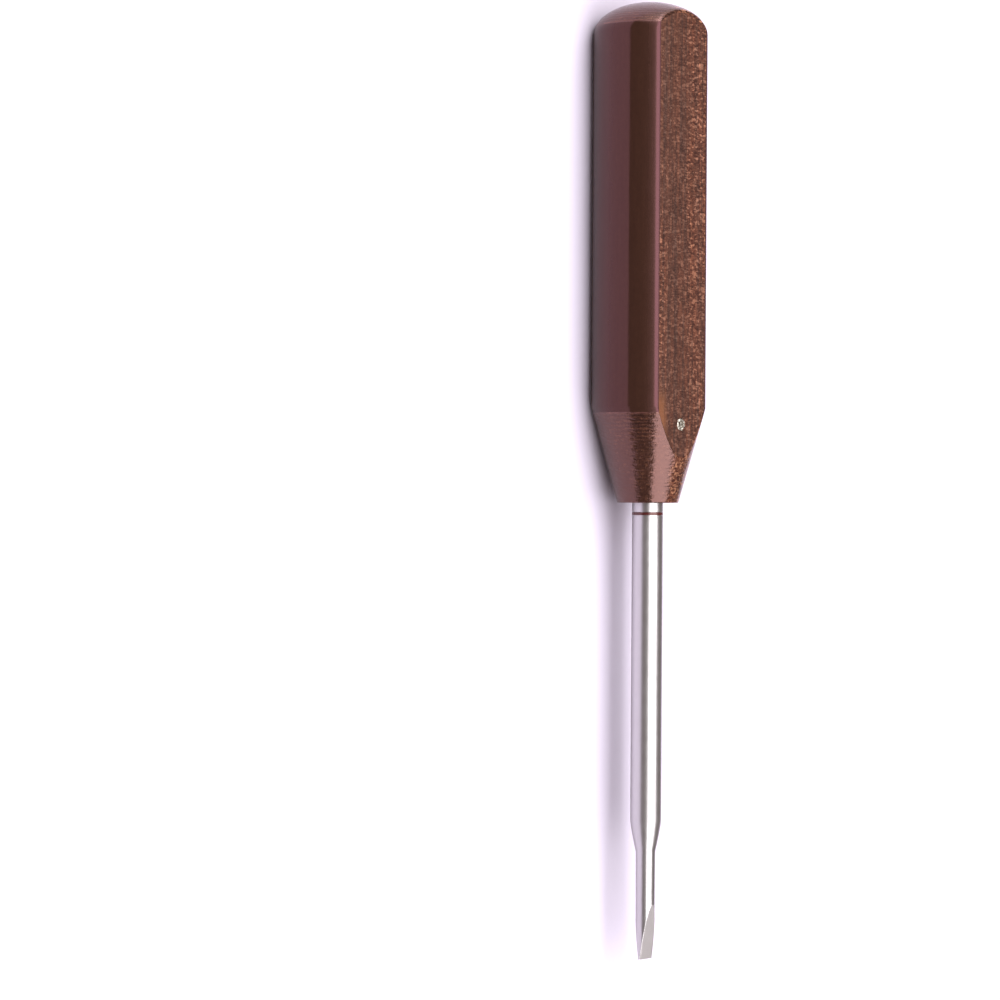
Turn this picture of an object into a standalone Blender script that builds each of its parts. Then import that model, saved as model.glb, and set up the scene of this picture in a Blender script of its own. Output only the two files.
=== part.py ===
"""Fixed-handle screwdriver: a laminate grip with two flats, a ground steel shaft and a cross pin.

Metres, +Z up. The tool lies on its lower flat, with its axis along X and the blade's tip at +X.
The origin is under the middle of the tool, on the surface that it lies on.
"""

import math

import bmesh
import bpy

# Driving dimensions
OVERALL_LENGTH = 0.2000
HANDLE_LENGTH = 0.1046
HANDLE_DIAMETER = 0.0240
ACROSS_FLATS = 0.0180
FLAT_CORNER = 0.0015
DOME_LENGTH = 0.0069
CONE_LENGTH = 0.0199
FRONT_DIAMETER = 0.0128
FRONT_CHAMFER = 0.00015

SHAFT_DIAMETER = 0.0065
TANG_LENGTH = 0.0480
TANG_CHAMFER = 0.0005
SHOULDER_LENGTH = 0.0063
SHOULDER_BULGE = 0.00008
NECK_DIAMETER = 0.0041
NECK_LENGTH = 0.0111
BLADE_DIAMETER = 0.0040
WEDGE_LENGTH = 0.0114
TIP_THICKNESS = 0.00040
BLADE_CORNER = 0.00012

BORE_CLEARANCE = 0.00006
BORE_END_ROOM = 0.0010

PIN_DIAMETER = 0.0026
PIN_BEHIND_FRONT = 0.0163
PIN_RECESS = 0.00008
PIN_EDGE = 0.00020
PIN_DIMPLE_RADIUS = 0.00086
PIN_DIMPLE_DEPTH = 0.00020
PIN_CLEARANCE = 0.00006

RING_WIDTH = 0.00058
RING_BEFORE_FRONT = 0.00225
RING_RECESS = 0.00002
GROOVE_DEPTH = 0.00035
GROOVE_CLEARANCE = 0.00006

# Places along the axis
HANDLE_START = -OVERALL_LENGTH / 2
HANDLE_FRONT = HANDLE_START + HANDLE_LENGTH
PIN_X = HANDLE_FRONT - PIN_BEHIND_FRONT
RING_X = HANDLE_FRONT + RING_BEFORE_FRONT
TANG_START = HANDLE_FRONT - TANG_LENGTH
TIP_X = OVERALL_LENGTH / 2
AXIS_HEIGHT = ACROSS_FLATS / 2

# Facets
DOME_RINGS = 9
CONE_RINGS = 11
SHOULDER_RINGS = 6
NECK_RINGS = 4
WEDGE_RINGS = 8
WEDGE_EVENNESS = 0.2
QUARTER_TURN = math.pi / 2
SMOOTH_ANGLE = math.radians(30)


class Steps:
    """How many facets a quarter of an outline has on its flat, its corner and its round part."""

    def __init__(self, flat, corner, arc):
        self.flat = flat
        self.corner = corner
        self.arc = arc
        self.facet = QUARTER_TURN / (flat + corner + arc)


HANDLE_STEPS = Steps(flat=1, corner=3, arc=10)
ROD_STEPS = Steps(flat=3, corner=2, arc=3)
PIN_STEPS = Steps(flat=2, corner=1, arc=2)


class Section:
    """A circle between two parallel flats, with rounded corners, at a place along a piece's axis.

    An evenness of 1 spaces a full circle's points evenly, and 0 draws them up to the flat's edges.
    """

    def __init__(self, place, radius, half_flat=None, corner=0.0, evenness=1.0):
        self.place = place
        self.radius = radius
        self.half_flat = radius if half_flat is None else half_flat
        self.corner = corner
        self.evenness = evenness
        self.reach = self.flat_reach()

    def flat_reach(self):
        """Half the width of the flat, between its rounded corners."""
        if self.radius <= self.half_flat:
            return 0.0
        inner = self.radius - self.corner
        return math.sqrt(inner**2 - (self.half_flat - self.corner) ** 2)

    def flat_end(self):
        return math.atan2(self.reach, self.half_flat)

    def arc_start(self):
        return math.atan2(self.reach, self.half_flat - self.corner)

    def distance(self, angle):
        """From the axis to the outline, at an angle from the middle of a flat."""
        if self.radius <= self.half_flat or angle >= self.arc_start():
            return self.radius
        if angle <= self.flat_end():
            return self.half_flat / math.cos(angle)
        along = self.reach * math.sin(angle)
        along += (self.half_flat - self.corner) * math.cos(angle)
        aside = (self.radius - self.corner) ** 2 - self.corner**2
        return along + math.sqrt(along**2 - aside)

    def quarter_angles(self, steps):
        """Angles from the middle of a flat round to the side, with the last one left out."""
        least = self.evenness * steps.facet
        flat_end = max(self.flat_end(), least * steps.flat)
        arc_start = max(self.arc_start(), flat_end + least * steps.corner)
        angles = [flat_end * i / steps.flat for i in range(steps.flat)]
        corner = arc_start - flat_end
        angles += [flat_end + corner * i / steps.corner for i in range(steps.corner)]
        arc = QUARTER_TURN - arc_start
        angles += [arc_start + arc * i / steps.arc for i in range(steps.arc)]
        return angles

    def points(self, steps):
        """The whole outline, as points round the X axis that start at +Z."""
        rising = self.quarter_angles(steps)
        falling = [QUARTER_TURN] + rising[:0:-1]
        turns = [(angle, angle) for angle in rising]
        turns += [(math.pi - angle, angle) for angle in falling]
        turns += [(math.pi + angle, angle) for angle in rising]
        turns += [(2 * math.pi - angle, angle) for angle in falling]
        found = []
        for turn, angle in turns:
            far = self.distance(angle)
            found.append((self.place, -far * math.sin(turn), far * math.cos(turn)))
        return found


def remove_old_objects():
    for old in list(bpy.data.objects):
        bpy.data.objects.remove(old, do_unlink=True)


def make_material(name, colour, roughness, metallic):
    material = bpy.data.materials.new(name)
    material.use_nodes = True
    shader = material.node_tree.nodes["Principled BSDF"]
    shader.inputs["Base Color"].default_value = (*colour, 1.0)
    shader.inputs["Roughness"].default_value = roughness
    shader.inputs["Metallic"].default_value = metallic
    return material


def join_rings(mesh, near, far):
    """Faces between two rings of vertices; a ring of one vertex is a pole."""
    count = max(len(near), len(far))
    for i in range(count):
        corners = [near[i % len(near)], near[(i + 1) % len(near)]]
        corners += [far[(i + 1) % len(far)], far[i % len(far)]]
        mesh.faces.new(list(dict.fromkeys(corners)))


def shade(data):
    data.shade_smooth()
    data.set_sharp_from_angle(angle=SMOOTH_ANGLE)


def place_object(name, mesh, x, upright):
    """An object on the tool's axis, or standing across it."""
    bmesh.ops.recalc_face_normals(mesh, faces=mesh.faces)
    data = bpy.data.meshes.new(name)
    mesh.to_mesh(data)
    mesh.free()
    shade(data)
    made = bpy.data.objects.new(name, data)
    bpy.context.scene.collection.objects.link(made)
    made.location = (x, 0.0, AXIS_HEIGHT)
    made.rotation_euler = (0.0, -QUARTER_TURN if upright else 0.0, 0.0)
    return made


def loft(name, sections, steps, x=0.0, upright=False, closed_loop=False):
    """A solid through sections along X. It is capped at both ends unless its sections form a loop."""
    mesh = bmesh.new()
    rings = []
    for section in sections:
        points = section.points(steps) if section.radius > 0 else [(section.place, 0.0, 0.0)]
        rings.append([mesh.verts.new(point) for point in points])
    for near, far in zip(rings, rings[1:]):
        join_rings(mesh, near, far)
    if closed_loop:
        join_rings(mesh, rings[-1], rings[0])
    else:
        for end in (rings[0], rings[-1]):
            if len(end) > 1:
                mesh.faces.new(end)
    return place_object(name, mesh, x, upright)


def cut(target, cutter):
    """Takes the cutter's shape out of the target."""
    boolean = target.modifiers.new(cutter.name, "BOOLEAN")
    boolean.operation = "DIFFERENCE"
    boolean.solver = "EXACT"
    boolean.object = cutter
    cutter.hide_render = True
    cutter.display_type = "WIRE"


def settle(made):
    """Applies the cuts and marks the new edges sharp, so that only round faces are shaded smooth."""
    graph = bpy.context.evaluated_depsgraph_get()
    data = bpy.data.meshes.new_from_object(made.evaluated_get(graph))
    made.modifiers.clear()
    made.data = data
    shade(data)


def handle_sections():
    """Dome, grip and cone, all between the same two flats."""
    radius = HANDLE_DIAMETER / 2
    front = FRONT_DIAMETER / 2
    profile = []
    for i in range(DOME_RINGS + 1):
        turn = QUARTER_TURN * i / DOME_RINGS
        profile.append((DOME_LENGTH * (1 - math.cos(turn)), radius * math.sin(turn)))
    cone_start = HANDLE_LENGTH - CONE_LENGTH
    cone_run = CONE_LENGTH - FRONT_CHAMFER
    for i in range(CONE_RINGS + 1):
        share = i / CONE_RINGS
        profile.append((cone_start + cone_run * share, radius + (front - radius) * share))
    profile.append((HANDLE_LENGTH, front - FRONT_CHAMFER))
    return [Section(x, r, ACROSS_FLATS / 2, FLAT_CORNER, evenness=0.5) for x, r in profile]


def make_handle(material):
    handle = loft("handle", handle_sections(), HANDLE_STEPS, HANDLE_START)
    handle.data.materials.append(material)
    bore_radius = SHAFT_DIAMETER / 2 + BORE_CLEARANCE
    bore_start = TANG_START - BORE_END_ROOM
    bore = [Section(bore_start, bore_radius), Section(HANDLE_FRONT + BORE_END_ROOM, bore_radius)]
    cut(handle, loft("tang_bore_cutter", bore, ROD_STEPS))
    return handle


def shoulder_radius(share):
    """From the shaft down to the neck, a little fuller than a straight cone."""
    shaft = SHAFT_DIAMETER / 2
    neck = NECK_DIAMETER / 2
    return shaft + (neck - shaft) * share + 4 * SHOULDER_BULGE * share * (1 - share)


def groove_sections():
    """The shallow groove that holds the colour ring."""
    shaft = SHAFT_DIAMETER / 2
    bottom = shaft - GROOVE_DEPTH
    near = RING_X - RING_WIDTH / 2 - GROOVE_CLEARANCE
    far = RING_X + RING_WIDTH / 2 + GROOVE_CLEARANCE
    return [Section(near, shaft), Section(near, bottom), Section(far, bottom), Section(far, shaft)]


def neck_sections(start):
    """Round and slightly tapered. Its points draw up to where the blade's facets begin."""
    neck = NECK_DIAMETER / 2
    blade = BLADE_DIAMETER / 2
    sections = []
    for i in range(1, NECK_RINGS):
        share = i / NECK_RINGS
        evenness = 1 + (WEDGE_EVENNESS - 1) * share
        radius = neck + (blade - neck) * share
        sections.append(Section(start + NECK_LENGTH * share, radius, evenness=evenness))
    return sections


def wedge_sections(start):
    """The blade: a round rod ground to a wedge. The rings are closest where the facets begin."""
    radius = BLADE_DIAMETER / 2
    tip = TIP_THICKNESS / 2
    sections = []
    for i in range(WEDGE_RINGS + 1):
        share = (i / WEDGE_RINGS) ** 2
        half_flat = radius + (tip - radius) * share
        place = start + WEDGE_LENGTH * share
        sections.append(Section(place, radius, half_flat, BLADE_CORNER, WEDGE_EVENNESS))
    return sections


def make_blade_shaft(material):
    shaft = SHAFT_DIAMETER / 2
    wedge_start = TIP_X - WEDGE_LENGTH
    neck_start = wedge_start - NECK_LENGTH
    shoulder_start = neck_start - SHOULDER_LENGTH
    sections = [Section(TANG_START, shaft - TANG_CHAMFER), Section(TANG_START + TANG_CHAMFER, shaft)]
    sections += groove_sections()
    for i in range(SHOULDER_RINGS + 1):
        share = i / SHOULDER_RINGS
        sections.append(Section(shoulder_start + SHOULDER_LENGTH * share, shoulder_radius(share)))
    sections += neck_sections(neck_start) + wedge_sections(wedge_start)
    blade = loft("blade_shaft", sections, ROD_STEPS)
    blade.data.materials.append(material)
    return blade


def pin_end(place, inwards):
    """A pin's end from its dimple out to its side; inwards is +1 or -1 along the pin."""
    radius = PIN_DIAMETER / 2
    return [
        Section(place + inwards * PIN_DIMPLE_DEPTH, 0.0),
        Section(place, PIN_DIMPLE_RADIUS),
        Section(place, radius - PIN_EDGE),
        Section(place + inwards * PIN_EDGE, radius),
    ]


def make_cross_pin(material):
    half = ACROSS_FLATS / 2 - PIN_RECESS
    sections = pin_end(-half, 1) + pin_end(half, -1)[::-1]
    pin = loft("cross_pin", sections, PIN_STEPS, PIN_X, upright=True)
    pin.data.materials.append(material)


def cut_pin_hole(handle, blade):
    """One straight hole through the handle and the tang."""
    radius = PIN_DIAMETER / 2 + PIN_CLEARANCE
    sections = [Section(-ACROSS_FLATS, radius), Section(ACROSS_FLATS, radius)]
    cutter = loft("pin_hole_cutter", sections, PIN_STEPS, PIN_X, upright=True)
    cut(handle, cutter)
    cut(blade, cutter)


def make_colour_ring(material):
    outer = SHAFT_DIAMETER / 2 - RING_RECESS
    inner = SHAFT_DIAMETER / 2 - GROOVE_DEPTH + GROOVE_CLEARANCE
    near = RING_X - RING_WIDTH / 2
    far = RING_X + RING_WIDTH / 2
    sections = [Section(near, inner), Section(near, outer), Section(far, outer), Section(far, inner)]
    ring = loft("colour_ring", sections, ROD_STEPS, closed_loop=True)
    ring.data.materials.append(material)


def main():
    remove_old_objects()
    laminate = make_material("laminate", (0.125, 0.050, 0.036), 0.45, 0.0)
    steel = make_material("ground_steel", (0.62, 0.60, 0.60), 0.28, 1.0)
    pin_steel = make_material("pin_steel", (0.55, 0.53, 0.52), 0.35, 1.0)
    enamel = make_material("red_enamel", (0.26, 0.030, 0.026), 0.35, 0.0)
    handle = make_handle(laminate)
    blade = make_blade_shaft(steel)
    cut_pin_hole(handle, blade)
    settle(handle)
    settle(blade)
    make_cross_pin(pin_steel)
    make_colour_ring(enamel)


main()
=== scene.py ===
"""Looks for the fixed-handle screwdriver: dense meshes, procedural materials, light and camera.

Everything is in metres, in the CAD's frame: the tool lies on its lower flat with its axis along X.
"""

import math

import bmesh
import bpy
from mathutils import Matrix, Vector


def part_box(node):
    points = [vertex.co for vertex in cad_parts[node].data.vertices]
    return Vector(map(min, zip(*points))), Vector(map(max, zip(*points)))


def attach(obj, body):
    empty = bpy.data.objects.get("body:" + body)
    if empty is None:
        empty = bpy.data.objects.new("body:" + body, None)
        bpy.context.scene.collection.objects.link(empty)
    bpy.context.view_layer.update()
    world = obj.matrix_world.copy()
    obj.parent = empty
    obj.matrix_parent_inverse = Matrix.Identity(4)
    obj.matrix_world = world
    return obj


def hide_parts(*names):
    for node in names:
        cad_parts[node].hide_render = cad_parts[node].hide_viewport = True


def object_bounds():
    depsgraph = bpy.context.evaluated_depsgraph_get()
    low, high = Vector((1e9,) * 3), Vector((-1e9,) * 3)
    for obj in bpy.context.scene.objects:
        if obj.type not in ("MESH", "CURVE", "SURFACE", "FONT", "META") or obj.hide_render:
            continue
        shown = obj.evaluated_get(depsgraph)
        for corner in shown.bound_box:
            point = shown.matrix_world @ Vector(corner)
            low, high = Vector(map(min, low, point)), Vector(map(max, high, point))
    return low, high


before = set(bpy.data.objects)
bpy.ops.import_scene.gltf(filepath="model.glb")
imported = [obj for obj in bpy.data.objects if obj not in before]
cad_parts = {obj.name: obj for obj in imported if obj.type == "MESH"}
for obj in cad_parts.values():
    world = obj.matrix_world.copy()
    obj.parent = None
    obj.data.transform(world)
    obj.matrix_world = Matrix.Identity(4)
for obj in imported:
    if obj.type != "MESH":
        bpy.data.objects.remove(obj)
CAD_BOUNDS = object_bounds()

MM = 0.001
QUARTER_TURN = math.pi / 2

# Places and sizes that the frame gives
HANDLE_LOW, HANDLE_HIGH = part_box("handle")
SHAFT_LOW, SHAFT_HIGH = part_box("blade_shaft")
PIN_LOW, PIN_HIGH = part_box("cross_pin")
RING_LOW, RING_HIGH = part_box("colour_ring")
AXIS_Z = (HANDLE_LOW.z + HANDLE_HIGH.z) / 2
HANDLE_START = HANDLE_LOW.x
HANDLE_FRONT = HANDLE_HIGH.x
GRIP_RADIUS = (HANDLE_HIGH.y - HANDLE_LOW.y) / 2
HALF_FLATS = (HANDLE_HIGH.z - HANDLE_LOW.z) / 2
SHAFT_RADIUS = (SHAFT_HIGH.y - SHAFT_LOW.y) / 2
PIN_RADIUS = (PIN_HIGH.x - PIN_LOW.x) / 2
PIN_X = (PIN_LOW.x + PIN_HIGH.x) / 2
RING_X = (RING_LOW.x + RING_HIGH.x) / 2
RING_WIDTH = RING_HIGH.x - RING_LOW.x
TANG_START = SHAFT_LOW.x
TIP_X = SHAFT_HIGH.x

# Sizes inside those boxes
DOME_LENGTH = 6.9 * MM
CONE_LENGTH = 19.9 * MM
FRONT_RADIUS = 6.4 * MM
FRONT_CHAMFER = 0.15 * MM
FLAT_CORNER = 1.8 * MM
DOME_EDGE = 0.8 * MM
CONE_EDGE = 0.10 * MM
EDGE_LIMIT = 0.8
DOME_SKIN = 0.26 * MM
CONE_SKIN = 0.34 * MM
CONE_BLEND = 0.25 * MM
BORE_RADIUS = SHAFT_RADIUS + 0.06 * MM
BORE_CHAMFER = 0.15 * MM
BORE_END_ROOM = 1.0 * MM
PIN_CLEARANCE = 0.06 * MM
PIN_RIM = 0.50 * MM
PIN_RIM_ROUND = 0.45 * PIN_RIM
PIN_DIMPLE = 0.70 * MM
PIN_DENT = 0.035 * MM
DENT_MEAN = 1.6
DENT_START = 0.3 * PIN_RADIUS
DENT_END = 0.95 * PIN_RADIUS
TANG_CHAMFER = 0.5 * MM
GROOVE_DEPTH = 0.35 * MM
GROOVE_CLEARANCE = 0.03 * MM
GROOVE_EDGE = 0.03 * MM
ENAMEL_CROWN = 0.03 * MM
SHOULDER_LENGTH = 6.3 * MM
SHOULDER_BULGE = 0.08 * MM
SHOULDER_BLEND = 0.25 * MM
NECK_RADIUS = 2.05 * MM
NECK_LENGTH = 11.1 * MM
BLADE_RADIUS = 2.0 * MM
WEDGE_LENGTH = 11.4 * MM
HALF_TIP = 0.20 * MM
BLADE_CORNER = 0.12 * MM

DOME_END = HANDLE_START + DOME_LENGTH
CONE_START = HANDLE_FRONT - CONE_LENGTH
WEDGE_START = TIP_X - WEDGE_LENGTH
NECK_START = WEDGE_START - NECK_LENGTH
SHOULDER_START = NECK_START - SHOULDER_LENGTH

SMOOTH_ANGLE = math.radians(12)


# ---------------------------------------------------------------- outlines and lofts


class Steps:
    """How many facets a quarter of an outline has on its flat, its corner and its round part."""

    def __init__(self, flat, corner, arc):
        self.flat = flat
        self.corner = corner
        self.arc = arc
        self.facet = QUARTER_TURN / (flat + corner + arc)


class Prism:
    """A circle between two parallel flats, with rounded corners."""

    def __init__(self, radius, half_flat, corner):
        self.radius = radius
        self.half_flat = half_flat
        self.corner = corner
        self.inner = radius - corner
        depth = half_flat - corner
        self.reach = math.sqrt(max(self.inner**2 - depth**2, 0.0))
        self.flat_end = math.atan2(self.reach, half_flat)
        self.arc_start = math.atan2(self.reach, depth)

    def distance(self, angle):
        """From the axis to the outline, at an angle from the middle of a flat."""
        if self.radius <= self.half_flat or angle >= self.arc_start:
            return self.radius
        if angle <= self.flat_end:
            return self.half_flat / math.cos(angle)
        along = self.inner * math.cos(self.arc_start - angle)
        return along + math.sqrt(along**2 - self.inner**2 + self.corner**2)

    def crossing(self, radius):
        """The angle at which the outline is this far from the axis."""
        if radius >= self.radius:
            return self.arc_start
        if radius <= self.half_flat:
            return 0.0
        if radius <= self.half_flat / math.cos(self.flat_end):
            return math.acos(self.half_flat / radius)
        cosine = (radius**2 + self.inner**2 - self.corner**2) / (2 * radius * self.inner)
        return self.arc_start - math.acos(min(cosine, 1.0))


def soft_minimum(a, b, width):
    """The lesser of two lengths, rounded over where they are nearly equal."""
    if width <= 0:
        return min(a, b)
    near = max(width - abs(a - b), 0.0) / width
    return min(a, b) - near**2 * width / 4


class Section:
    """A turned radius, cut by a prism where there is one, at a place along the axis.

    An evenness of 1 spaces a full circle's points evenly, and 0 draws them up to the flat's edges.
    """

    def __init__(self, place, radius, prism=None, evenness=1.0, edge=0.0):
        self.place = place
        self.radius = radius
        self.prism = prism
        self.evenness = evenness
        self.edge = edge

    def distance(self, angle):
        if self.prism is None:
            return self.radius
        return soft_minimum(self.prism.distance(angle), self.radius, self.edge)

    def limits(self, steps):
        """Angles at which the outline's flat ends and its round part starts."""
        least = self.evenness * steps.facet
        flat_end = arc_start = 0.0
        if self.prism is not None:
            arc_start = self.prism.crossing(self.radius)
            flat_end = min(self.prism.flat_end, self.prism.crossing(self.radius - self.edge))
        flat_end = max(flat_end, least * steps.flat)
        return flat_end, max(arc_start, flat_end + least * steps.corner)

    def quarter_angles(self, steps):
        """Angles from the middle of a flat round to the side, with the last one left out."""
        flat_end, arc_start = self.limits(steps)
        stretches = ((0.0, flat_end, steps.flat), (flat_end, arc_start, steps.corner))
        stretches += ((arc_start, QUARTER_TURN, steps.arc),)
        return [a + (b - a) * i / count for a, b, count in stretches for i in range(count)]

    def points(self, steps):
        """The whole outline, as points round the X axis that start at +Z."""
        rising = self.quarter_angles(steps)
        falling = [QUARTER_TURN] + rising[:0:-1]
        turns = [(angle, angle) for angle in rising]
        turns += [(math.pi - angle, angle) for angle in falling]
        turns += [(math.pi + angle, angle) for angle in rising]
        turns += [(2 * math.pi - angle, angle) for angle in falling]
        found = []
        for turn, angle in turns:
            far = self.distance(angle)
            found.append((self.place, -far * math.sin(turn), far * math.cos(turn)))
        return found


def join_rings(mesh, near, far):
    """Faces between two rings of vertices; a ring of one vertex is a pole."""
    count = max(len(near), len(far))
    for i in range(count):
        corners = [near[i % len(near)], near[(i + 1) % len(near)]]
        corners += [far[(i + 1) % len(far)], far[i % len(far)]]
        mesh.faces.new(list(dict.fromkeys(corners)))


def loft(name, sections, steps, closed_loop=False):
    """A solid on the tool's axis, through sections in order."""
    mesh = bmesh.new()
    rings = []
    for section in sections:
        points = section.points(steps) if section.radius > 0 else [(section.place, 0.0, 0.0)]
        rings.append([mesh.verts.new(point) for point in points])
    for near, far in zip(rings, rings[1:]):
        join_rings(mesh, near, far)
    if closed_loop:
        join_rings(mesh, rings[-1], rings[0])
    else:
        for end in (rings[0], rings[-1]):
            if len(end) > 1:
                mesh.faces.new(end)
    bmesh.ops.recalc_face_normals(mesh, faces=mesh.faces)
    bmesh.ops.translate(mesh, verts=mesh.verts, vec=(0.0, 0.0, AXIS_Z))
    data = bpy.data.meshes.new(name)
    mesh.to_mesh(data)
    mesh.free()
    made = bpy.data.objects.new(name, data)
    bpy.context.scene.collection.objects.link(made)
    return made


def shade(made):
    """Smooth shading, broken at the edges."""
    made.data.shade_smooth()
    made.data.set_sharp_from_angle(angle=SMOOTH_ANGLE)


def cut(target, cutter):
    """Takes the cutter's shape out of the target and removes the cutter."""
    boolean = target.modifiers.new("cut", "BOOLEAN")
    boolean.operation = "DIFFERENCE"
    boolean.solver = "EXACT"
    boolean.object = cutter
    graph = bpy.context.evaluated_depsgraph_get()
    data = bpy.data.meshes.new_from_object(target.evaluated_get(graph))
    target.modifiers.clear()
    target.data = data
    bpy.data.objects.remove(cutter, do_unlink=True)


def stand_across(made, x):
    """Turns a piece that was lofted along the axis, so that it stands across it at x."""
    centre = Vector((0.0, 0.0, AXIS_Z))
    turn = Matrix.Rotation(-QUARTER_TURN, 4, "Y")
    place = Matrix.Translation(Vector((x, 0.0, AXIS_Z))) @ turn @ Matrix.Translation(-centre)
    made.data.transform(place)


def spaced(low, high, count):
    """The ends of count equal steps from low to high."""
    return [low + (high - low) * i / count for i in range(count + 1)]


# ---------------------------------------------------------------- pieces

GRIP_STEPS = Steps(flat=26, corner=10, arc=34)
ROD_STEPS = Steps(flat=14, corner=6, arc=12)
PIN_STEPS = Steps(flat=10, corner=2, arc=8)
GRIP_EVENNESS = 0.06
WEDGE_EVENNESS = 0.10

# How many rings of points each stretch of a piece has
DOME_RINGS = 44
BODY_RINGS = 24
CORNER_RINGS = 6
CONE_RINGS = 70
BORE_RINGS = 12
SHAFT_RINGS = 30
SHOULDER_RINGS = 40
NECK_RINGS = 16
WEDGE_RINGS = 56
DIMPLE_RINGS = 10
CROWN_RINGS = 8
EASE_SAMPLES = 8


def eased(outline, x, reach):
    """An outline's mean over a short stretch about x, which rounds its edges."""
    samples = spaced(x - reach, x + reach, EASE_SAMPLES)
    return sum(outline(sample) for sample in samples) / len(samples)


def skin_ends():
    """Places where the dome and the cone cut through the moulded skin."""
    share = (GRIP_RADIUS - DOME_SKIN) / GRIP_RADIUS
    low = HANDLE_START + DOME_LENGTH * (1 - math.sqrt(1 - share**2))
    high = CONE_START + CONE_LENGTH * CONE_SKIN / (GRIP_RADIUS - FRONT_RADIUS)
    return low, high


def grip_radius(x):
    """The turned outline: an elliptical dome, a straight body and a cone."""
    if x < DOME_END:
        return GRIP_RADIUS * math.sqrt(max(1 - ((DOME_END - x) / DOME_LENGTH) ** 2, 0.0))
    share = eased(lambda place: max(place - CONE_START, 0.0), x, CONE_BLEND) / CONE_LENGTH
    return GRIP_RADIUS + (FRONT_RADIUS - GRIP_RADIUS) * share


def grip_places():
    """Places of the handle's rings, close together on the dome and the cone."""
    turns = spaced(0.0, QUARTER_TURN, DOME_RINGS)
    places = [HANDLE_START + DOME_LENGTH * (1 - math.cos(turn)) for turn in turns]
    places += spaced(DOME_END, CONE_START - CONE_BLEND, BODY_RINGS)[1:]
    places += spaced(CONE_START - CONE_BLEND, CONE_START + CONE_BLEND, CORNER_RINGS)[1:]
    places += spaced(CONE_START + CONE_BLEND, HANDLE_FRONT - FRONT_CHAMFER, CONE_RINGS)[1:]
    for end in skin_ends():
        nearest = min(range(len(places)), key=lambda i: abs(places[i] - end))
        places[nearest] = end
    return places


def outside_sections():
    """The handle's outside, from the dome's top to the chamfer at its front."""
    prism = Prism(GRIP_RADIUS, HALF_FLATS, FLAT_CORNER)
    sections = []
    for x in grip_places():
        radius = grip_radius(x)
        widest = DOME_EDGE if x < DOME_END else CONE_EDGE
        edge = min(widest, EDGE_LIMIT * (GRIP_RADIUS - radius))
        sections.append(Section(x, radius, prism, GRIP_EVENNESS, edge))
    return sections


def bore_sections(rim):
    """The handle's front face, from its rim inwards, and the blind bore behind it."""
    bore_end = TANG_START - BORE_END_ROOM
    inside = [(HANDLE_FRONT, rim), (HANDLE_FRONT, (rim + BORE_RADIUS) / 2)]
    inside.append((HANDLE_FRONT, BORE_RADIUS + BORE_CHAMFER))
    inside.append((HANDLE_FRONT - BORE_CHAMFER, BORE_RADIUS))
    walls = spaced(HANDLE_FRONT - 2 * BORE_CHAMFER, bore_end, BORE_RINGS)
    inside += [(x, BORE_RADIUS) for x in walls]
    inside.append((bore_end, 0.0))
    return [Section(x, radius, evenness=GRIP_EVENNESS) for x, radius in inside]


def make_grip():
    """The handle with its bore, lofted in one run out over the outside and back down the bore."""
    sections = outside_sections()
    sections += bore_sections(sections[-1].radius - FRONT_CHAMFER)
    grip = loft("grip_body", sections, GRIP_STEPS)
    hole = PIN_RADIUS + PIN_CLEARANCE
    cutter = loft("pin_hole", [Section(-GRIP_RADIUS, hole), Section(GRIP_RADIUS, hole)], PIN_STEPS)
    stand_across(cutter, PIN_X)
    cut(grip, cutter)
    shade(grip)
    return grip


def shoulder_radius(x):
    """From the shaft down to the neck, a little fuller than a straight cone."""
    share = min(max((x - SHOULDER_START) / SHOULDER_LENGTH, 0.0), 1.0)
    bulge = 4 * SHOULDER_BULGE * share * (1 - share)
    return SHAFT_RADIUS + (NECK_RADIUS - SHAFT_RADIUS) * share + bulge


def groove_sections():
    """The groove that holds the enamel, with its edges just broken."""
    bottom = SHAFT_RADIUS - GROOVE_DEPTH
    half = RING_WIDTH / 2 + GROOVE_CLEARANCE
    near = [(-half - GROOVE_EDGE, SHAFT_RADIUS), (-half, SHAFT_RADIUS - GROOVE_EDGE), (-half, bottom)]
    far = [(-offset, radius) for offset, radius in reversed(near)]
    return [Section(RING_X + offset, radius) for offset, radius in near + far]


def wedge_sections():
    """The blade: a round rod ground to a wedge. The rings are closest where the facets begin."""
    sections = []
    for step in spaced(0.0, 1.0, WEDGE_RINGS):
        share = step**2
        half_flat = BLADE_RADIUS + (HALF_TIP - BLADE_RADIUS) * share
        prism = Prism(BLADE_RADIUS, half_flat, min(BLADE_CORNER, half_flat / 2))
        place = WEDGE_START + WEDGE_LENGTH * share
        sections.append(Section(place, BLADE_RADIUS, prism, WEDGE_EVENNESS))
    return sections


def neck_sections(start):
    """The neck, whose points close up on the places where the blade's facets begin."""
    sections = []
    for x in spaced(start, WEDGE_START, NECK_RINGS)[1:-1]:
        share = (x - start) / (WEDGE_START - start)
        radius = NECK_RADIUS + (BLADE_RADIUS - NECK_RADIUS) * share
        sections.append(Section(x, radius, evenness=1 + (WEDGE_EVENNESS - 1) * share))
    return sections


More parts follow.
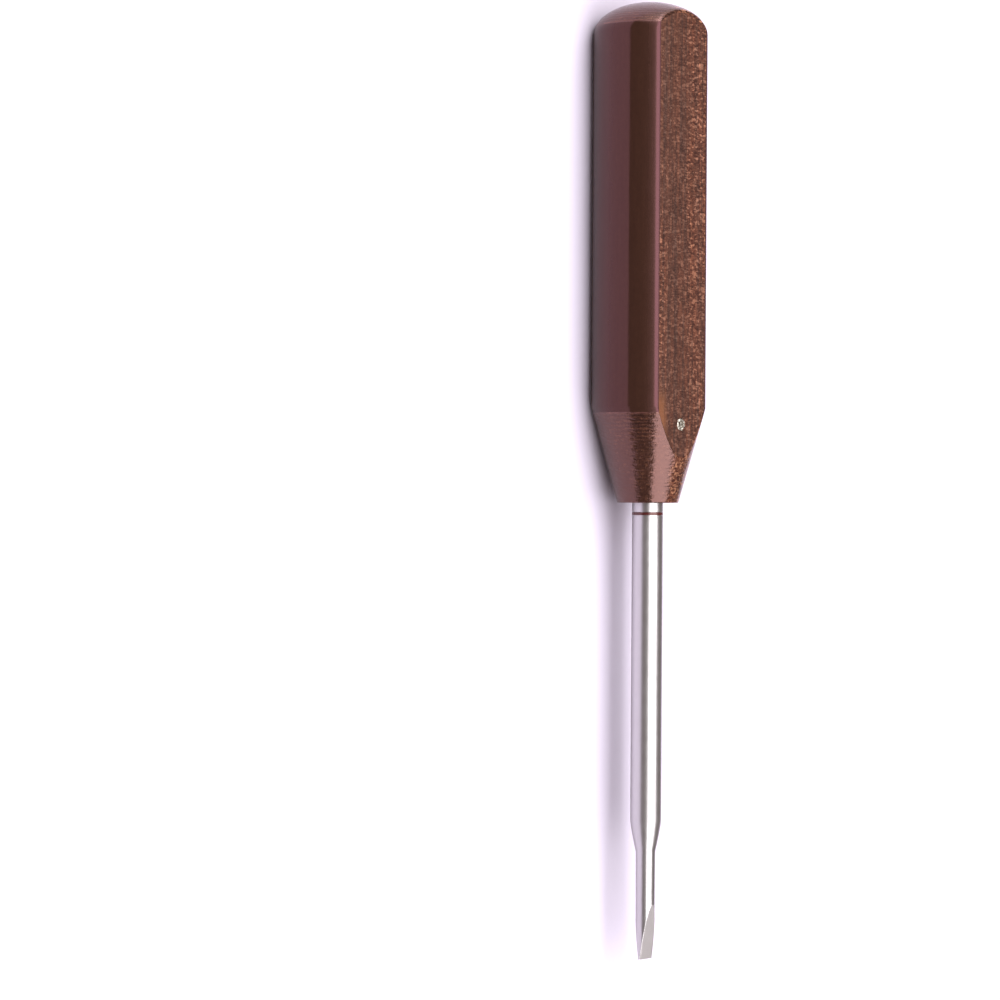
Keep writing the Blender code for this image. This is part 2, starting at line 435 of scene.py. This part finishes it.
def make_shaft():
    """Tang, shaft, shoulder, neck and blade, ground from one rod."""
    tang_end = TANG_START + TANG_CHAMFER
    sections = [Section(TANG_START, SHAFT_RADIUS - TANG_CHAMFER), Section(tang_end, SHAFT_RADIUS)]
    sections += [Section(x, SHAFT_RADIUS) for x in spaced(tang_end, HANDLE_FRONT, BORE_RINGS)[1:]]
    sections += groove_sections()
    clear = SHOULDER_START - 2 * SHOULDER_BLEND
    sections += [Section(x, SHAFT_RADIUS) for x in spaced(RING_X + RING_WIDTH, clear, SHAFT_RINGS)]
    shoulder = spaced(clear, NECK_START + 2 * SHOULDER_BLEND, SHOULDER_RINGS)[1:]
    sections += [Section(x, eased(shoulder_radius, x, SHOULDER_BLEND)) for x in shoulder]
    sections += neck_sections(shoulder[-1])
    sections += wedge_sections()
    shaft = loft("ground_shaft", sections, ROD_STEPS)
    shade(shaft)
    return shaft


def pin_end():
    """Depths below the pin's end, and radii, from the dimple's middle out over the rim."""
    wall = PIN_RADIUS - PIN_RIM
    dimple = spaced(0.0, QUARTER_TURN, DIMPLE_RINGS)
    outline = [(PIN_DIMPLE * math.cos(turn), wall * math.sin(turn)) for turn in dimple]
    outline += [(0.02 * MM, wall + 0.10 * PIN_RIM), (0.0, wall + 0.35 * PIN_RIM)]
    for turn in spaced(0.0, QUARTER_TURN, CORNER_RINGS):
        radius = PIN_RADIUS - PIN_RIM_ROUND * (1 - math.sin(turn))
        outline.append((PIN_RIM_ROUND * (1 - math.cos(turn)), radius))
    return outline


def dent(pin, half):
    """Works the rim at both ends of a pin of this half length, which lies along X, uneven."""
    for vertex in pin.data.vertices:
        side = math.atan2(vertex.co.z - AXIS_Z, vertex.co.y)
        out = math.hypot(vertex.co.z - AXIS_Z, vertex.co.y)
        if abs(abs(vertex.co.x) - half) < PIN_DIMPLE and DENT_START < out < DENT_END:
            ripple = math.sin(3 * side + 0.7) + 0.6 * math.sin(5 * side + 2.0)
            vertex.co.x -= math.copysign(PIN_DENT * (DENT_MEAN + ripple), vertex.co.x)


def make_pin():
    """The pin's two ends were spread with a punch: an uneven rim round a deep dimple."""
    half = (PIN_HIGH.z - PIN_LOW.z) / 2
    sections = [Section(-half + depth, radius) for depth, radius in pin_end()]
    sections += [Section(half - depth, radius) for depth, radius in reversed(pin_end())]
    pin = loft("locking_pin", sections, PIN_STEPS)
    dent(pin, half)
    stand_across(pin, PIN_X)
    shade(pin)
    return pin


def make_enamel():
    """Enamel filling the groove, with a slightly rounded surface."""
    inner = SHAFT_RADIUS - GROOVE_DEPTH + GROOVE_CLEARANCE
    outer = SHAFT_RADIUS - ENAMEL_CROWN
    sections = [Section(RING_X - RING_WIDTH / 2, inner)]
    for share in spaced(-1.0, 1.0, CROWN_RINGS):
        radius = outer + ENAMEL_CROWN * (1 - share**2)
        sections.append(Section(RING_X + share * RING_WIDTH / 2, radius))
    sections.append(Section(RING_X + RING_WIDTH / 2, inner))
    ring = loft("enamel_band", sections, ROD_STEPS, closed_loop=True)
    shade(ring)
    return ring


# ---------------------------------------------------------------- shader arithmetic


class Field:
    """A number over a surface, made with math nodes from ordinary arithmetic."""

    def __init__(self, tree, socket):
        self.tree = tree
        self.socket = socket

    def math(self, operation, *others):
        node = self.tree.nodes.new("ShaderNodeMath")
        node.operation = operation
        for place, value in enumerate((self, *others)):
            plug(self.tree, value, node.inputs[place])
        return Field(self.tree, node.outputs[0])

    def __add__(self, other):
        return self.math("ADD", other)

    def __sub__(self, other):
        return self.math("SUBTRACT", other)

    def __mul__(self, other):
        return self.math("MULTIPLY", other)

    def __truediv__(self, other):
        return self.math("DIVIDE", other)

    def floor(self):
        return self.math("FLOOR")

    def fraction(self):
        return self.math("FRACT")

    def absolute(self):
        return self.math("ABSOLUTE")

    def sine(self):
        return self.math("SINE")

    def squared(self):
        return self.math("MULTIPLY", self)

    def most(self, other):
        return self.math("MAXIMUM", other)

    def step(self, low, high):
        """0 below low, 1 above high and smooth between; it falls where high is below low."""
        node = self.tree.nodes.new("ShaderNodeMapRange")
        node.interpolation_type = "SMOOTHSTEP"
        falling = high < low
        plug(self.tree, self, node.inputs["Value"])
        node.inputs["From Min"].default_value = min(low, high)
        node.inputs["From Max"].default_value = max(low, high)
        node.inputs["To Min"].default_value = 1.0 if falling else 0.0
        node.inputs["To Max"].default_value = 0.0 if falling else 1.0
        return Field(self.tree, node.outputs["Result"])

    def between(self, rise, fall):
        """1 on a stretch that starts over one pair of values and ends over the other."""
        return self.step(*rise) * self.step(*fall)


def plug(tree, value, socket):
    """Links a field or a node's output to a socket, or sets the socket's own value."""
    if isinstance(value, Field):
        tree.links.new(value.socket, socket)
    elif isinstance(value, bpy.types.NodeSocket):
        tree.links.new(value, socket)
    else:
        socket.default_value = value


def rgba(colour):
    """A plain (r, g, b) colour with an alpha of 1; the output of a mix stays as it is."""
    return (*colour, 1.0) if isinstance(colour, tuple) else colour


class Surface:
    """A material being built: its tree, its shader and places on the object in millimetres."""

    def __init__(self, name):
        self.material = bpy.data.materials.new(name)
        self.material.use_nodes = True
        self.tree = self.material.node_tree
        self.shader = self.tree.nodes["Principled BSDF"]
        place = self.tree.nodes.new("ShaderNodeTexCoord").outputs["Object"]
        split = self.tree.nodes.new("ShaderNodeSeparateXYZ")
        self.tree.links.new(place, split.inputs[0])
        x, y, z = (Field(self.tree, socket) for socket in split.outputs)
        self.x = (x - HANDLE_START) / MM
        self.y = y / MM
        self.z = (z - AXIS_Z) / MM
        self.place = self.vector(self.x, self.y, self.z)

    def vector(self, x, y, z):
        node = self.tree.nodes.new("ShaderNodeCombineXYZ")
        for value, socket in zip((x, y, z), node.inputs):
            plug(self.tree, value, socket)
        return node.outputs[0]

    def scaled(self, along, across):
        """The place, scaled along the tool and across it."""
        return self.vector(self.x * along, self.y * across, self.z * across)

    def noise(self, vector, scale=1.0, detail=2.0, roughness=0.5, centred=False):
        """Noise from 0 to 1, or about 0 where centred."""
        node = self.tree.nodes.new("ShaderNodeTexNoise")
        self.tree.links.new(vector, node.inputs["Vector"])
        node.inputs["Scale"].default_value = scale
        node.inputs["Detail"].default_value = detail
        node.inputs["Roughness"].default_value = roughness
        found = Field(self.tree, node.outputs["Fac"])
        return found - 0.5 if centred else found

    def random(self, number):
        """Three random numbers for each whole number."""
        node = self.tree.nodes.new("ShaderNodeTexWhiteNoise")
        node.noise_dimensions = "1D"
        plug(self.tree, number, node.inputs["W"])
        split = self.tree.nodes.new("ShaderNodeSeparateXYZ")
        self.tree.links.new(node.outputs["Color"], split.inputs[0])
        return [Field(self.tree, socket) for socket in split.outputs]

    def mix(self, factor, first, second, blend="MIX"):
        """Colours are linear (r, g, b) tuples or the outputs of other mixes."""
        node = self.tree.nodes.new("ShaderNodeMix")
        node.data_type = "RGBA"
        node.blend_type = blend
        plug(self.tree, factor, node.inputs["Factor"])
        plug(self.tree, rgba(first), node.inputs[6])
        plug(self.tree, rgba(second), node.inputs[7])
        return node.outputs[2]

    def tinted(self, colour, tint):
        """A colour times a tint, or times a number."""
        if isinstance(tint, Field):
            tint = self.vector(tint, tint, tint)
        return self.mix(1.0, colour, tint, blend="MULTIPLY")

    def bump(self, height, distance, normal=None):
        """Relief of this height, where a field's 1 stands for a distance in metres."""
        node = self.tree.nodes.new("ShaderNodeBump")
        node.inputs["Distance"].default_value = distance
        plug(self.tree, height, node.inputs["Height"])
        if normal is not None:
            self.tree.links.new(normal, node.inputs["Normal"])
        return node.outputs["Normal"]

    def finish(self, colour, roughness, normal=None, **constants):
        """Fills the shader's sockets. A constant's name has underscores for spaces."""
        plug(self.tree, rgba(colour), self.shader.inputs["Base Color"])
        plug(self.tree, roughness, self.shader.inputs["Roughness"])
        if normal is not None:
            self.tree.links.new(normal, self.shader.inputs["Normal"])
        for name, value in constants.items():
            self.shader.inputs[name.replace("_", " ")].default_value = value
        return self.material


# ---------------------------------------------------------------- materials

STEEL_CLOUDING = 0.08

# Sizes in millimetres, as a surface's places are
CLOTH_LAYER = 0.22
RING_PITCH = 0.70
THREAD_PITCH = 0.56
DOME_SKIN_RADIUS = (GRIP_RADIUS - DOME_SKIN) / MM
CONE_SKIN_RADIUS = (GRIP_RADIUS - CONE_SKIN) / MM

# Linear colours of the cloth where it is milled flat, and where it is turned and buffed
MILLED_COLOURS = {
    "resin": (0.022, 0.0056, 0.0033),
    "warp": (0.045, 0.0172, 0.0112),
    "weft": (0.064, 0.0250, 0.0160),
    "bright": (0.250, 0.130, 0.092),
    "dark": (0.026, 0.0064, 0.0038),
    "light": (0.074, 0.0295, 0.0190),
}
TURNED_COLOURS = {
    "resin": (0.010, 0.0028, 0.0014),
    "warp": (0.018, 0.0068, 0.0038),
    "weft": (0.026, 0.0098, 0.0054),
    "bright": (0.330, 0.148, 0.084),
    "dark": (0.026, 0.0048, 0.0026),
    "light": (0.112, 0.040, 0.0220),
}


class Cloth:
    """Rolled cloth in resin: fields for its threads, their own lightness and the layers'."""

    def __init__(self, surface, radius, angle):
        wander = surface.noise(surface.place, scale=0.30, detail=2.0, centred=True)
        ripple = surface.noise(surface.place, scale=1.4, detail=2.0, centred=True)
        layers = radius / CLOTH_LAYER - angle / (2 * math.pi) + wander * 3.0 + ripple * 0.7
        number = layers.floor()
        height = layers - number - 0.5
        shift_along, shift_round, self.layer = surface.random(number)
        along = surface.x / THREAD_PITCH + shift_along * 2.0 + wander * 2.0 + ripple * 0.6
        arc = angle * (number + 0.5) * CLOTH_LAYER
        around = arc / THREAD_PITCH + shift_round * 2.0 - wander * 1.6 + ripple * 0.6
        over = (along * math.pi).sine() * (around * math.pi).sine() * 0.24
        warp_gap = self.gap(around, height - over)
        weft_gap = self.gap(along, height + over)
        self.warp = warp_gap.step(1.3, 0.45)
        self.weft = weft_gap.step(1.3, 0.45)
        cell = along.floor() * 7.31 + around.floor() * 3.77 + number * 1.93
        self.dot = surface.random(cell)[0]

    def gap(self, across, height):
        """How far a point is from a thread's middle, where 1 is its surface."""
        return ((across.fraction() - 0.5) / 0.47).squared() + (height / 0.46).squared()


def bold_weave(surface, colours, stretch):
    """Dark and light knots with glints, drawn out across the tool by the stretch."""
    y = surface.y / stretch
    z = surface.z / stretch
    place = surface.vector(surface.x * stretch, y, z)
    knots = surface.noise(place, scale=1.45, detail=2.0, roughness=0.6)
    weave = surface.mix(knots.step(0.40, 0.54), colours["dark"], colours["light"])
    elsewhere = surface.vector(surface.x * stretch + 7.0, y, z + 9.0)
    glints = surface.noise(elsewhere, scale=1.5, detail=1.5)
    return surface.mix(glints.step(0.54, 0.64) * 0.8, weave, colours["bright"])


def cut_cloth(surface, radius, colours, boldness_and_light, stretch):
    """Colour, thread cover and speckle of a cut face.

    The bold weave shows where the caller's mask is high. That mask is partly painted light: a bolder
    and lighter weave on the side where light falls. Elsewhere the face is calm, with its threads in
    resin and a few bright dots.
    """
    cloth = Cloth(surface, radius, surface.z.math("ARCTAN2", surface.y))
    speckle = surface.noise(surface.place, scale=1.5, detail=3.0, roughness=0.7)
    stain = surface.noise(surface.place, scale=0.25, detail=3.0)
    grain = surface.noise(surface.scaled(0.35, 3.2), detail=3.0)
    calm = surface.mix(cloth.warp, colours["resin"], colours["warp"])
    calm = surface.mix(cloth.weft, calm, colours["weft"])
    shine = cloth.dot.step(0.66, 1.0) * cloth.weft.most(cloth.warp * 0.8) * boldness_and_light
    calm = surface.mix(shine * (grain.step(0.38, 0.60) * 0.8 + 0.2), calm, colours["bright"])
    # The mask carries painted light too: more bold weave, bright dots and speckle on the lit side.
    colour = surface.mix(boldness_and_light * 0.85, calm, bold_weave(surface, colours, stretch))
    tone = (cloth.layer - 0.5) * 0.2 + (speckle - 0.5) * (boldness_and_light * 1.6 + 1.0)
    tone = tone + (stain - 0.5) * 0.7 + (grain - 0.5) * 0.9
    colour = surface.tinted(colour, (tone + 1.0).most(0.15))
    return colour, cloth.warp.most(cloth.weft), speckle


def columns(surface, colour):
    """Tints that run the length of a milled flat."""
    column = surface.noise(surface.scaled(0.025, 1.1), detail=3.0, roughness=0.6).step(0.36, 0.64)
    return surface.tinted(colour, surface.mix(column, (0.75, 0.78, 0.82), (1.26, 1.12, 1.00)))


def moulded_skin():
    """The glossy resin-rich skin that the press left on the round sides, duller near the flats."""
    surface = Surface("moulded_skin")
    streaks = surface.noise(surface.scaled(0.10, 1.4), detail=3.0)
    mottle = surface.noise(surface.place, scale=0.9, detail=4.0, roughness=0.6)
    tone = (mottle - 0.5) * 0.35 + (streaks - 0.5) * 0.35 + 1.0
    colour = surface.tinted((0.0285, 0.0125, 0.0072), tone)
    rub = surface.noise(surface.scaled(0.25, 5.0), detail=4.0)
    cloud = surface.noise(surface.place, scale=0.35, detail=3.0)
    near_flat = surface.z.absolute().step(5.0, 8.5)
    polish = rub * 0.05 + cloud * 0.08 + near_flat * 0.22 + 0.035
    normal = surface.bump(rub, 0.0012 * MM)
    normal = surface.bump(streaks, 0.006 * MM, normal)
    return surface.finish(colour, polish, normal, IOR=1.60, Specular_Tint=(1.0, 0.46, 0.50, 1.0))


def buffed_corner():
    """The skin's rounded corner beside each flat, rubbed to a satin."""
    surface = Surface("buffed_corner")
    rub = surface.noise(surface.scaled(0.5, 2.0), detail=4.0)
    colour = surface.mix(rub, (0.032, 0.0120, 0.0100), (0.046, 0.0170, 0.0150))
    polish = rub * 0.16 + 0.22
    normal = surface.bump(rub, 0.004 * MM)
    return surface.finish(colour, polish, normal, IOR=1.66, Specular_Tint=(1.0, 0.44, 0.52, 1.0))


def from_axis(surface):
    """Distance from the tool's axis."""
    return (surface.y.squared() + surface.z.squared()).math("SQRT")


def milled_cloth():
    """The flats cut across the rolled cloth.

    Their weave is bolder and lighter towards the +Y edge, partly painted light falling on that side,
    and bolder along a stretch of the other edge that is followed by a tan streak beside the pin.
    """
    surface = Surface("milled_cloth")
    sway = surface.noise(surface.scaled(0.2, 1.0), scale=0.5, detail=3.0, centred=True)
    # Painted light: a bolder, lighter weave towards the +Y edge, where light falls, weaker towards
    # the cone.
    side = (surface.y + sway * 5.0).step(0.2, 3.0) * (surface.x.step(75.0, 30.0) * 0.4 + 0.6)
    other_side = surface.y + sway * 3.0
    worn = other_side.step(-4.6, -6.2) * surface.x.between((42.0, 52.0), (80.0, 70.0))
    streak = other_side.step(-4.4, -5.6) * surface.x.between((80.0, 85.0), (94.0, 88.0))
    boldness_and_light = side.most(worn) * 0.62 + 0.38
    radius = from_axis(surface)
    colour, threads, speckle = cut_cloth(surface, radius, MILLED_COLOURS, boldness_and_light, stretch=1.5)
    colour = columns(surface, colour)
    colour = surface.mix(streak * 0.75, colour, (0.175, 0.066, 0.028))
    # Painted light in part: warmer where the mask is high, cooler elsewhere.
    colour = surface.tinted(colour, surface.mix(boldness_and_light, (0.94, 1.00, 1.06), (1.10, 0.98, 0.90)))
    polish = speckle * -0.15 + 0.52
    normal = surface.bump(threads * 0.5 + speckle * 1.2, 0.030 * MM)
    return surface.finish(colour, polish, normal, IOR=1.5, Specular_Tint=(1.0, 0.66, 0.60, 1.0))


def tool_rings(surface, radius, on_cone, past_corner):
    """Relief of the lathe's rings, and the bands of light and dark that they leave on the cone."""
    run = surface.x + radius * 0.3
    fine = surface.noise(surface.vector(run, 0.0, 0.0), scale=2.9, detail=3.0, roughness=0.7)
    waver = surface.noise(surface.scaled(0.6, 0.3), centred=True)
    cuts = ((run / RING_PITCH + waver * 1.6) * (2 * math.pi)).sine() * 0.5 + 0.5
    coarse = past_corner.step(10.0, 3.0)
    rings = fine * (on_cone * 0.6 + 0.4) + cuts * coarse * 0.8
    return rings, (cuts - 0.5) * coarse * 1.1 + 1.0


def turned_cloth():
    """The cone and the dome, turned and buffed, with a lighter line where the skin ends, which is a
    painted highlight, and a bolder, lighter weave on the +Y side that is partly painted light.
    """
    surface = Surface("turned_cloth")
    radius = from_axis(surface)
    sway = surface.noise(surface.place, scale=1.2, detail=3.0, centred=True)
    # Painted light: a bolder, lighter weave on the +Y side, past the highlight, where light falls.
    boldness_and_light = (surface.y / radius + sway * 0.3).step(-0.34, -0.14) * 0.92 + 0.08
    colour, threads, speckle = cut_cloth(surface, radius, TURNED_COLOURS, boldness_and_light, stretch=1.1)
    # Painted highlight: a lighter line where the turned faces cut through the skin.
    cone_edge_highlight = (radius - CONE_SKIN_RADIUS).absolute().step(0.10, 0.02)
    dome_edge_highlight = (radius - DOME_SKIN_RADIUS).absolute().step(0.10, 0.02)
    colour = surface.mix(cone_edge_highlight.most(dome_edge_highlight) * 0.5, colour, (0.115, 0.048, 0.042))
    past_corner = surface.x - (CONE_START - HANDLE_START) / MM
    on_cone = past_corner.step(-5.0, 0.0)
    rings, bands = tool_rings(surface, radius, on_cone, past_corner)
    colour = surface.tinted(colour, bands)
    drag = surface.noise(surface.scaled(2.8, 0.6), detail=3.0)
    polish = threads * 0.03 + rings * 0.07 + drag * 0.10 + 0.05
    normal = surface.bump(threads * 0.4 + speckle * 0.6, 0.020 * MM)
    normal = surface.bump(drag * (on_cone * 0.88 + 0.12), 0.14 * MM, normal)
    normal = surface.bump(rings, 0.020 * MM, normal)
    constants = {"IOR": 1.5, "Specular_IOR_Level": 1.24, "Specular_Tint": (1.0, 0.54, 0.50, 1.0)}
    return surface.finish(colour, polish, normal, **constants)


def steel_tone(surface, tone, depth):
    """A metal's colour with slight clouding."""
    cloud = surface.noise(surface.place, scale=0.6, detail=3.0) * depth + (1 - depth / 2)
    return surface.tinted(tone, cloud)


def ground_steel():
    """Fine grinding lines run round the shaft."""
    surface = Surface("ground_steel")
    tone = steel_tone(surface, (0.515, 0.495, 0.505), STEEL_CLOUDING)
    rings = surface.noise(surface.scaled(9.0, 0.5), detail=3.0)
    rub = surface.noise(surface.place, scale=0.5, detail=4.0)
    polish = rub * 0.10 + rings * 0.06 + 0.24
    normal = surface.bump(rings, 0.0008 * MM)
    return surface.finish(tone, polish, normal, Metallic=1.0)


def facet_steel():
    """The blade's facets, ground across with a coarser wheel."""
    surface = Surface("facet_steel")
    tone = steel_tone(surface, (0.74, 0.70, 0.72), STEEL_CLOUDING)
    lines = surface.noise(surface.vector(surface.x * 9.0, surface.y * 0.6, surface.z), detail=4.0)
    polish = lines * 0.14 + 0.38
    normal = surface.bump(lines, 0.003 * MM)
    return surface.finish(tone, polish, normal, Metallic=1.0)


def from_axis_of_pin(surface):
    """Distance from the pin's own axis, which stands across the handle."""
    along = surface.x - (PIN_X - HANDLE_START) / MM
    return (along.squared() + surface.y.squared()).math("SQRT")


def pin_steel():
    """The pin's ends are hammered and filed, and darker in their middle."""
    surface = Surface("pin_steel")
    dents = surface.noise(surface.place, scale=2.6, detail=3.0)
    # Darker towards the middle of each end, over the dimple.
    dark_middle = from_axis_of_pin(surface).step(0.92, 0.45)
    tone = surface.mix(dark_middle, (0.78, 0.74, 0.66), (0.045, 0.034, 0.026))
    polish = dents * 0.2 + 0.24
    normal = surface.bump(dents, 0.04 * MM)
    return surface.finish(tone, polish, normal, Metallic=1.0)


def red_enamel():
    """Dark red enamel that pooled a little unevenly in its groove."""
    surface = Surface("red_enamel")
    pool = surface.noise(surface.place, scale=1.4, detail=3.0)
    colour = surface.mix(pool, (0.048, 0.005, 0.0045), (0.080, 0.010, 0.009))
    polish = pool * 0.12 + 0.20
    normal = surface.bump(pool, 0.02 * MM)
    return surface.finish(colour, polish, normal, IOR=1.8, Specular_Tint=(1.0, 0.72, 0.70, 1.0))


def floor_paper():
    """Plain pale paper with a very faint lilac grain."""
    surface = Surface("floor_paper")
    grain = surface.noise(surface.place, scale=1.5, detail=4.0)
    colour = surface.mix(grain, (0.63, 0.575, 0.69), (0.65, 0.595, 0.71))
    return surface.finish(colour, 0.9)


# ---------------------------------------------------------------- assembly

# Material slots after a piece's own, and what tells their faces apart
FACET = 1
MILLED = 1
TURNED = 2
CORNER = 3
FACET_FACING = 0.97
END_FACING = 0.9
FLAT_FACING = 0.999
FLAT_DEPTH = 0.004 * MM
SKIN_DEPTH = 0.012 * MM


def face_radius(face):
    """Distance from the tool's axis to the middle of a face."""
    return math.hypot(face.center.y, face.center.z - AXIS_Z)


def mark_facets(shaft, material):
    """Gives the blade's ground facets and its end face their own finish."""
    shaft.data.materials.append(material)
    for face in shaft.data.polygons:
        on_blade = face.center.x > WEDGE_START
        if on_blade and (abs(face.normal.z) > FACET_FACING or face.normal.x > END_FACING):
            face.material_index = FACET


def mark_finishes(grip, materials):
    """The flats, the turned ends and the corners differ from the moulded skin between them."""
    for material in materials:
        grip.data.materials.append(material)
    skin_low, skin_high = skin_ends()
    for face in grip.data.polygons:
        height = abs(face.center.z - AXIS_Z)
        if height > HALF_FLATS - FLAT_DEPTH and abs(face.normal.z) > FLAT_FACING:
            face.material_index = MILLED
        elif not skin_low < face.center.x < skin_high or face_radius(face) < HALF_FLATS:
            face.material_index = TURNED
        elif face_radius(face) < grip_radius(face.center.x) - SKIN_DEPTH:
            face.material_index = CORNER


def add_piece(piece, material, node):
    """Gives a piece its material, puts it on the root body and hides the CAD node it stands for."""
    piece.data.materials.clear()
    piece.data.materials.append(material)
    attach(piece, "root")
    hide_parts(node)


def make_tool():
    """Makes the four pieces. Each rides on the tool's only body."""
    shaft = make_shaft()
    grip = make_grip()
    add_piece(grip, moulded_skin(), "handle")
    mark_finishes(grip, (milled_cloth(), turned_cloth(), buffed_corner()))
    add_piece(shaft, ground_steel(), "blade_shaft")
    mark_facets(shaft, facet_steel())
    add_piece(make_pin(), pin_steel(), "cross_pin")
    add_piece(make_enamel(), red_enamel(), "colour_ring")


# ---------------------------------------------------------------- studio

FLOOR_HALF = 1.5
FLOOR_GAP = 0.02 * MM
SOFTBOX_HEIGHT = 0.60
SOFTBOX_LENGTH = 2.60
SOFTBOX_FRONT = -0.42
SOFTBOX_BACK = 0.28
SOFTBOX_RADIANCE = 3.6
PANEL_FAR = 0.62
PANEL_WIDTH = 0.90
PANEL_HEIGHT = 0.42
PANEL_BASE = 0.03
PANEL_RADIANCE = 1.3
ROOM_LIGHT = (0.25, 0.216, 0.203)

CAMERA_PLACE = Vector((0.0042, -0.5336, 0.4557))
CAMERA_FORWARD = Vector((0.0, 0.7375, -0.6753))
CAMERA_LENS = 119.61
CAMERA_ROLL = math.radians(0.36)


def make_floor():
    """Paper just under the tool, so that the two don't share a plane."""
    mesh = bmesh.new()
    bmesh.ops.create_grid(mesh, x_segments=8, y_segments=8, size=FLOOR_HALF)
    data = bpy.data.meshes.new("floor")
    mesh.to_mesh(data)
    mesh.free()
    floor = bpy.data.objects.new("floor", data)
    floor.location.z = CAD_BOUNDS[0].z - FLOOR_GAP
    floor.data.materials.append(floor_paper())
    bpy.context.scene.collection.objects.link(floor)


def add_light(name, place, aim, length, width, radiance):
    """A soft rectangular light at a place, shining along aim. Its length runs across the aim."""
    light = bpy.data.lights.new(name, "AREA")
    light.shape = "RECTANGLE"
    light.size = length
    light.size_y = width
    light.energy = radiance * math.pi * length * width
    lamp = bpy.data.objects.new(name, light)
    lamp.rotation_euler = Vector(aim).to_track_quat("-Z", "Y").to_euler()
    lamp.location = place
    bpy.context.scene.collection.objects.link(lamp)


def make_lights():
    """A wide softbox overhead, and a dim panel beyond the handle's end."""
    width = SOFTBOX_BACK - SOFTBOX_FRONT
    middle = (SOFTBOX_BACK + SOFTBOX_FRONT) / 2
    overhead = (0.0, middle, AXIS_Z + SOFTBOX_HEIGHT)
    add_light("softbox", overhead, (0.0, 0.0, -1.0), SOFTBOX_LENGTH, width, SOFTBOX_RADIANCE)
    place = (-PANEL_FAR, 0.0, PANEL_BASE + PANEL_HEIGHT / 2)
    add_light("end_panel", place, (1.0, 0.0, 0.0), PANEL_WIDTH, PANEL_HEIGHT, PANEL_RADIANCE)


def make_room():
    """Dim light from all round, and plain colours in the picture."""
    world = bpy.data.worlds.new("room")
    world.use_nodes = True
    world.node_tree.nodes["Background"].inputs["Color"].default_value = (*ROOM_LIGHT, 1.0)
    bpy.context.scene.world = world
    view = bpy.context.scene.view_settings
    view.view_transform = "Standard"
    view.look = "None"
    view.exposure = 0.0
    view.gamma = 1.0


def make_camera():
    """The camera looks down at the tool with the handle at the top of the frame."""
    forward = CAMERA_FORWARD.normalized()
    up = Vector((-1.0, 0.0, 0.0))
    right = forward.cross(up)
    turn = Matrix((right, up, -forward)).transposed().to_4x4()
    camera = bpy.data.objects.new("camera", bpy.data.cameras.new("camera"))
    camera.data.lens = CAMERA_LENS
    camera.data.clip_start = 0.01
    camera.data.clip_end = 10.0
    roll = Matrix.Rotation(CAMERA_ROLL, 4, "Z")
    camera.matrix_world = Matrix.Translation(CAMERA_PLACE) @ turn @ roll
    bpy.context.scene.collection.objects.link(camera)
    bpy.context.scene.camera = camera


make_camera()
make_tool()
make_floor()
make_lights()
make_room()
